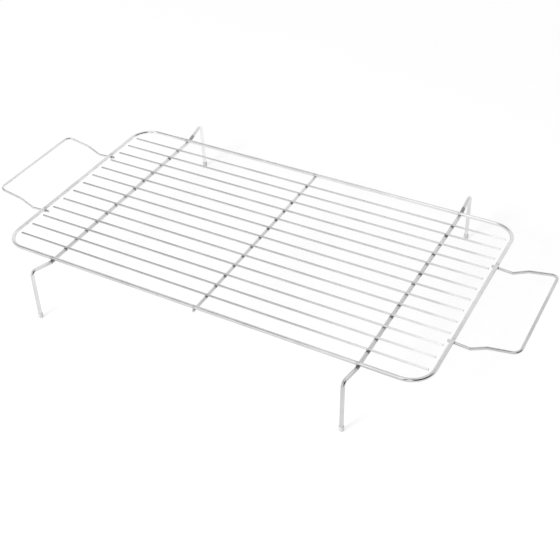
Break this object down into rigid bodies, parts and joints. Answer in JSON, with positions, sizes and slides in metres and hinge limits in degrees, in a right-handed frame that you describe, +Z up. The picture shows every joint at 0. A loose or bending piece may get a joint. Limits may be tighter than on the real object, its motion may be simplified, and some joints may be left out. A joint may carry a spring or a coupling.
{
  "type": "cooling rack",
  "caption": "Low wire cooling rack: rounded ring frame with parallel slats on welded cross wires, bent wire legs with capped feet, and a looped lifting handle at each end.",
  "frame": {"origin": "on the floor, under the middle of the rack", "axes": "+X along the slats towards the right handle, +Y across them towards the rear, +Z up from the feet"},
  "size_m": [0.607, 0.3332, 0.0654],
  "materials": {
    "wire": "bright plated steel wire",
    "foot_cap": "pale grey soft vinyl"
  },
  "bodies": {
    "root": {"frame_ring": "wire", "slat_01": "wire", "slat_02": "wire", "slat_03": "wire", "slat_04": "wire", "slat_05": "wire", "slat_06": "wire", "slat_07": "wire", "slat_08": "wire", "slat_09": "wire", "slat_10": "wire", "slat_11": "wire", "slat_12": "wire", "slat_13": "wire", "center_wire": "wire", "leg_wire_left": "wire", "leg_wire_right": "wire", "handle_left": "wire", "handle_right": "wire", "foot_cap_front_left": "foot_cap", "foot_cap_front_right": "foot_cap", "foot_cap_rear_left": "foot_cap", "foot_cap_rear_right": "foot_cap"}
  },
  "joints": []
}
